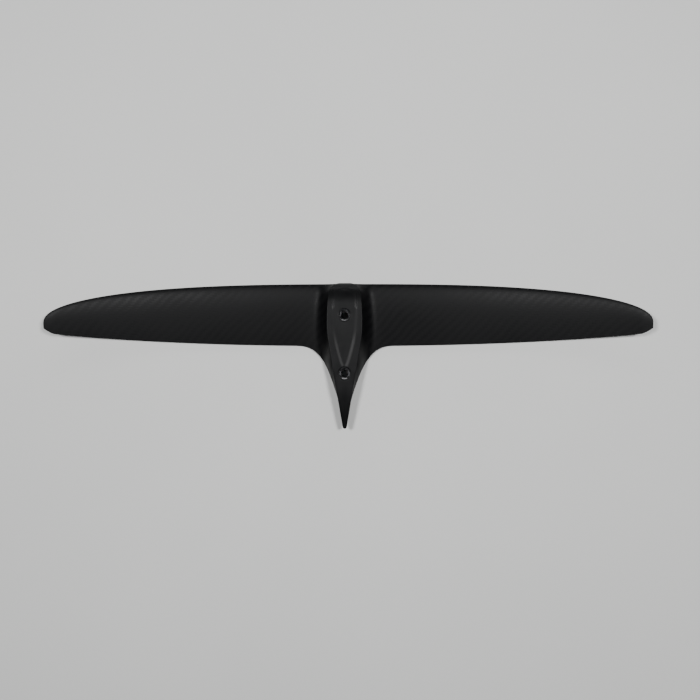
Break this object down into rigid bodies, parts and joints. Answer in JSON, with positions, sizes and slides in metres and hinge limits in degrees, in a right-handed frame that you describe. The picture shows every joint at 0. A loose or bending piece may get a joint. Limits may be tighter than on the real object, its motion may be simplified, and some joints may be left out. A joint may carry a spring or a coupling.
{
  "type": "hydrofoil front wing",
  "caption": "Slim moulded carbon hydrofoil front wing with a raised teardrop mounting tongue, countersunk screw seats and a long pointed tail.",
  "frame": {"origin": "midway between the two screw holes, on the seat that the fuselage is pulled against", "axes": "+X along the span, +Y forward through the leading edge, +Z out of the face with the countersunk screw holes, which is the underside in use"},
  "size_m": [0.88, 0.212, 0.0296],
  "materials": {
    "carbon_skin": "satin clear coat over carbon twill",
    "carbon_laminate": "satin, sanded flat",
    "bush_metal": "black anodised",
    "dense_filler": "cast",
    "bonding_resin": "cast",
    "rigid_foam": "cut foam",
    "carbon_spar": "pressed unidirectional carbon"
  },
  "bodies": {
    "root": {"starboard_screw_side_skin": "carbon_skin", "port_screw_side_skin": "carbon_skin", "starboard_fuselage_side_skin": "carbon_skin", "port_fuselage_side_skin": "carbon_skin", "mount_tongue": "carbon_laminate", "front_screw_bush": "bush_metal", "rear_screw_bush": "bush_metal", "starboard_root_block": "dense_filler", "port_root_block": "dense_filler", "starboard_leading_edge_bead": "bonding_resin", "port_leading_edge_bead": "bonding_resin", "starboard_front_foam_core": "rigid_foam", "port_front_foam_core": "rigid_foam", "starboard_main_spar": "carbon_spar", "port_main_spar": "carbon_spar", "starboard_rear_foam_core": "rigid_foam", "port_rear_foam_core": "rigid_foam", "starboard_trailing_edge_strip": "carbon_spar", "port_trailing_edge_strip": "carbon_spar", "starboard_tip_filler": "bonding_resin", "port_tip_filler": "bonding_resin"}
  },
  "joints": []
}
